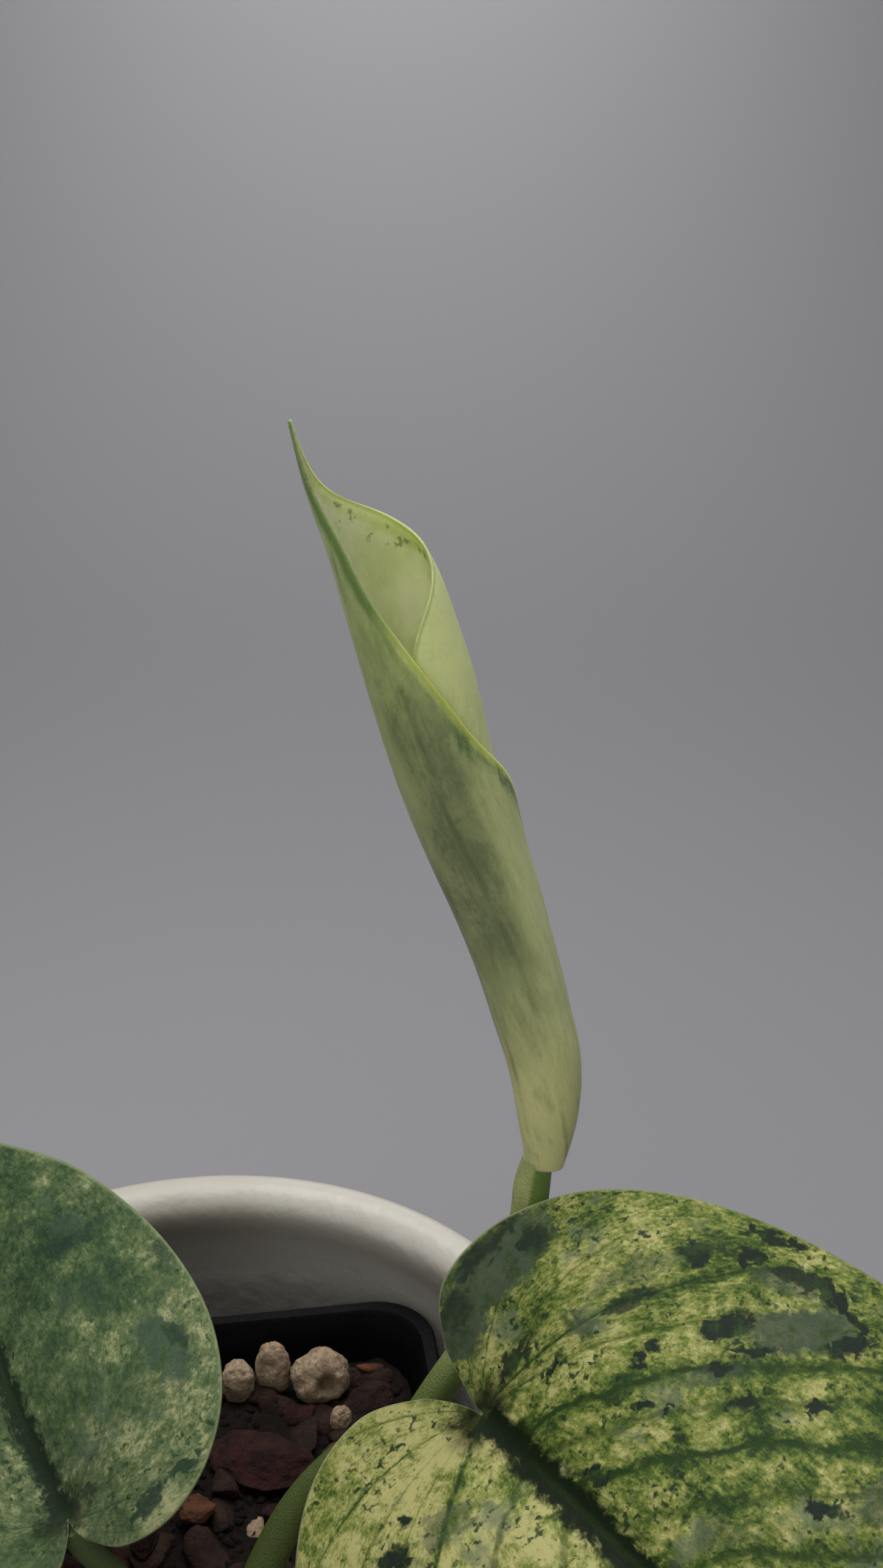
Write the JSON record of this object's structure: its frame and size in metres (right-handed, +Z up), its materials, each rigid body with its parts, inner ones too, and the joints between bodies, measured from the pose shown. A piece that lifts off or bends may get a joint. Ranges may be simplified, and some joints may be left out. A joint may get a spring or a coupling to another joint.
{
  "type": "potted silver cloud scindapsus",
  "caption": "Small aroid house plant with mottled heart-shaped leaves and a rolled new leaf, in a square nursery pot inside a plain round cover pot.",
  "frame": {"origin": "centre of the cover pot's foot, on the surface it stands on", "axes": "+Z up; -Y towards the side that the open leaves face"},
  "size_m": [0.1698, 0.1638, 0.2339],
  "materials": {
    "cover_pot": "pale off-white, smooth satin",
    "nursery_pot": "black, moulded, slightly satin",
    "substrate": "chunky bark mix with pale stones, matte and rough",
    "vine": "smooth green plant stem, satin",
    "leaf_left": "grey-green mottled leaf, velvety",
    "leaf_right": "yellow-green leaf with silver and dark green mottling, velvety",
    "leaf_new": "young yellow-green leaf, rolled, satin"
  },
  "bodies": {
    "root": {"cover_pot": "cover_pot", "nursery_pot": "nursery_pot", "substrate": "substrate", "vine": "vine", "leaf_left": "leaf_left", "leaf_right": "leaf_right", "leaf_new": "leaf_new"}
  },
  "joints": []
}
